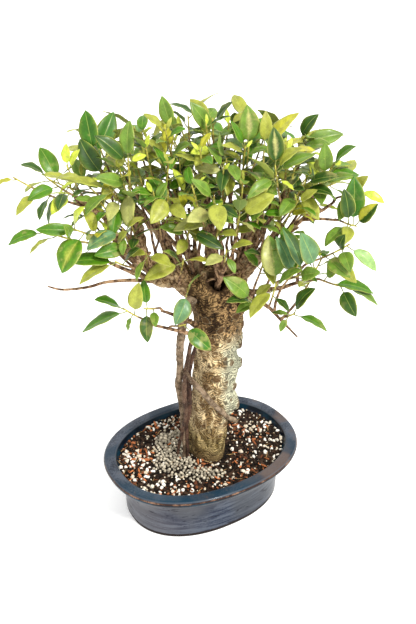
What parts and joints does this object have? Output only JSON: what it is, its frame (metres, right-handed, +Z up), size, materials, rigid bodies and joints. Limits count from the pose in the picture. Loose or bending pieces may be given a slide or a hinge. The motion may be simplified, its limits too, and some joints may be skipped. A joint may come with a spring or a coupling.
{
  "type": "potted bonsai fig tree",
  "caption": "Bonsai fig with a thick scarred trunk, aerial roots and a wide umbrella crown of glossy leaves, in an oval glazed pot.",
  "frame": {"origin": "middle of the pot's underside, on the surface that it stands on", "axes": "+Z up, +X along the pot's long axis, toward the right end as seen from the front"},
  "size_m": [0.4058, 0.3391, 0.5164],
  "materials": {
    "glaze": "glossy dark blue-grey glaze",
    "screen": "matte",
    "soil": "rough potting mix of bark, perlite and pellets",
    "bark": "rough bark",
    "leaf": "glossy leaf"
  },
  "bodies": {
    "root": {"pot": "glaze", "soil": "soil", "drain_screen_left": "screen", "drain_screen_right": "screen", "wood": "bark", "spray_left_top_pair": "leaf", "spray_left_light": "leaf", "spray_top_spike": "leaf", "spray_top_fan": "leaf", "spray_top_two_tone": "leaf", "spray_top_arch": "leaf", "spray_cream_leaf": "leaf", "spray_right_tip": "leaf", "spray_right_fan": "leaf", "spray_hub_dark": "leaf", "spray_right_pale": "leaf", "spray_right_bright": "leaf", "spray_right_low": "leaf", "spray_right_middle": "leaf", "spray_right_teal": "leaf", "spray_khaki_pair": "leaf", "spray_crown_right": "leaf", "spray_low_right": "leaf", "spray_trunk_leaf": "leaf", "spray_leaf_on_trunk": "leaf", "spray_hanging_dark": "leaf", "spray_long_low": "leaf", "spray_olive_hanging": "leaf", "spray_left_round": "leaf", "spray_left_teal": "leaf", "spray_red_twig": "leaf", "spray_far_left": "leaf", "spray_left_bud": "leaf", "spray_left_long_arm": "leaf", "spray_left_arch": "leaf", "spray_heart": "leaf", "spray_heart_upper": "leaf", "spray_centre_down": "leaf", "spray_olive_face": "leaf", "spray_three_hanging": "leaf", "spray_near_crown": "leaf", "spray_dark_across": "leaf", "spray_grey_low": "leaf", "spray_left_inner": "leaf", "spray_top_back_left": "leaf", "spray_top_back_middle": "leaf", "spray_top_back_right": "leaf", "spray_top_right": "leaf", "spray_top_left": "leaf", "spray_side_left": "leaf", "spray_side_right": "leaf", "spray_back_left_high": "leaf", "spray_back_left": "leaf", "spray_back_middle_left": "leaf", "spray_back_middle_right": "leaf", "spray_back_right": "leaf", "spray_back_right_high": "leaf", "spray_back_low_left": "leaf", "spray_back_low_right": "leaf", "spray_back_low_middle": "leaf"}
  },
  "joints": []
}
